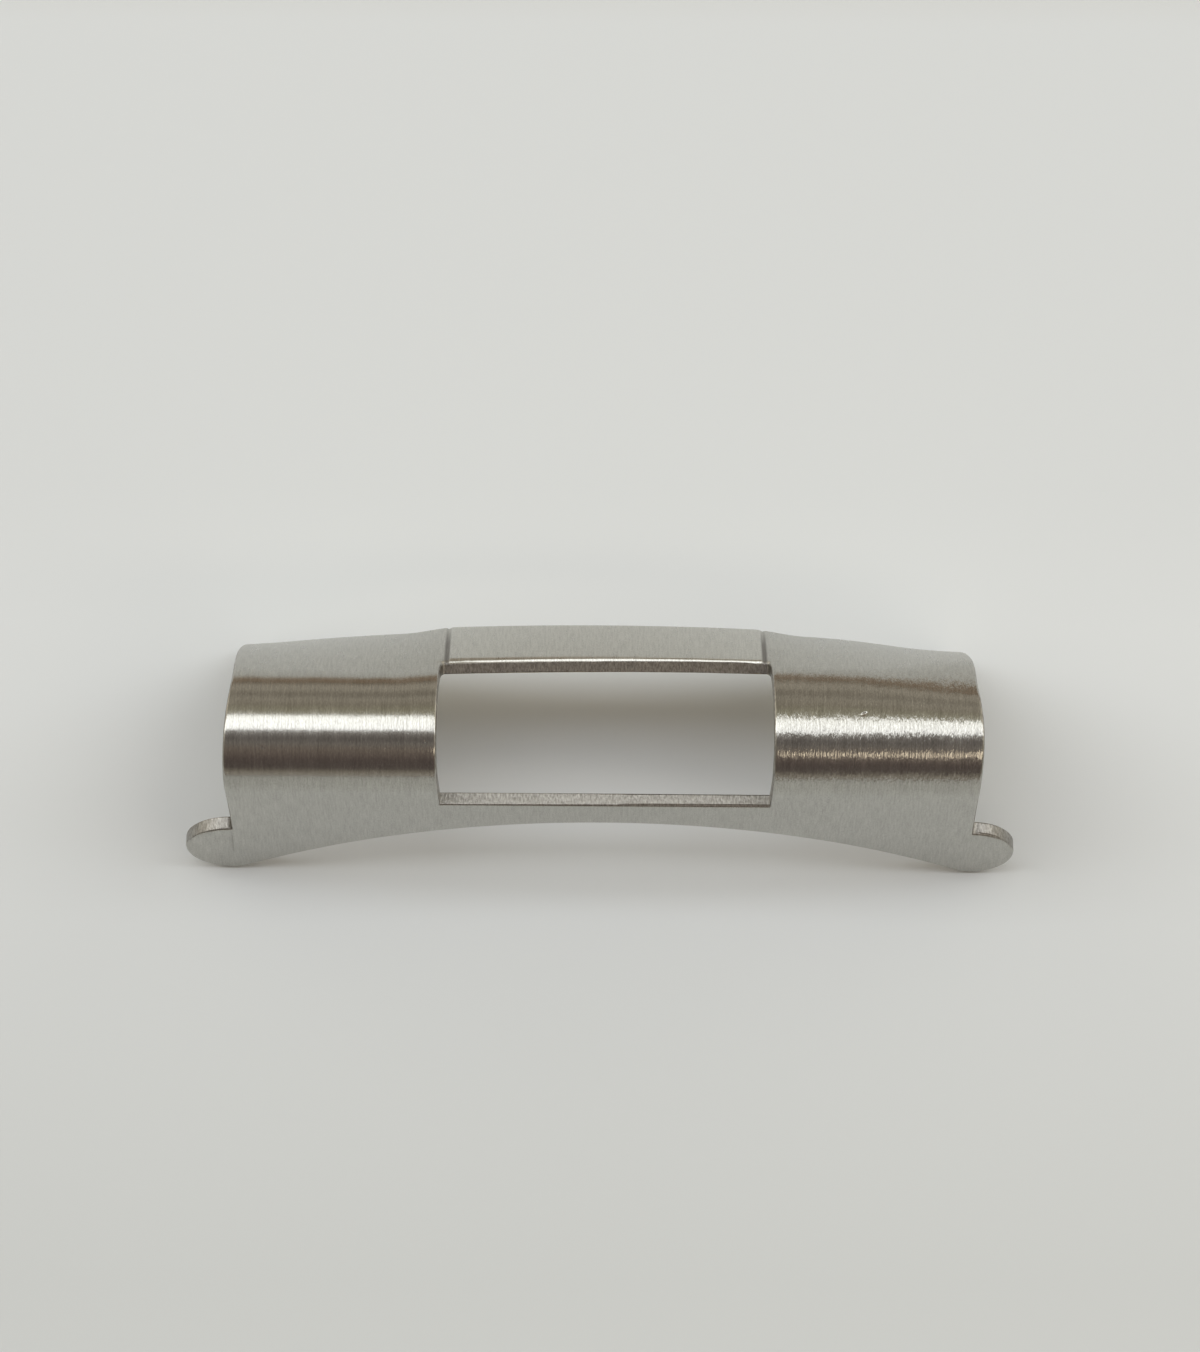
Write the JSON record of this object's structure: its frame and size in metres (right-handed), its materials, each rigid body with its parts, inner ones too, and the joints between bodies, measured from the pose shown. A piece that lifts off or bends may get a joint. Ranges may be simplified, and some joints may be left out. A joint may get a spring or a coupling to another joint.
{
  "type": "watch bracelet end link",
  "caption": "Hollow end link folded from sheet, between watch case, lugs and bracelet, with a fold that wraps the spring bar, a window for the first link and ears under the lugs.",
  "frame": {"origin": "on the spring bar's axis, at mid width between the lugs", "axes": "+X along the spring bar's axis from lug to lug, +Y towards the side that is worn upwards, +Z away from the watch case towards the fold; the link stands on its case side edges"},
  "size_m": [0.0224, 0.0063, 0.0062],
  "materials": {
    "brushed_sheet": "stainless steel sheet, brushed along the strap, with bare cut edges"
  },
  "bodies": {
    "root": {"centre_panel": "brushed_sheet", "left_side_panel": "brushed_sheet", "right_side_panel": "brushed_sheet", "left_fold": "brushed_sheet", "right_fold": "brushed_sheet", "lower_plate": "brushed_sheet", "left_ear": "brushed_sheet", "right_ear": "brushed_sheet"}
  },
  "joints": []
}
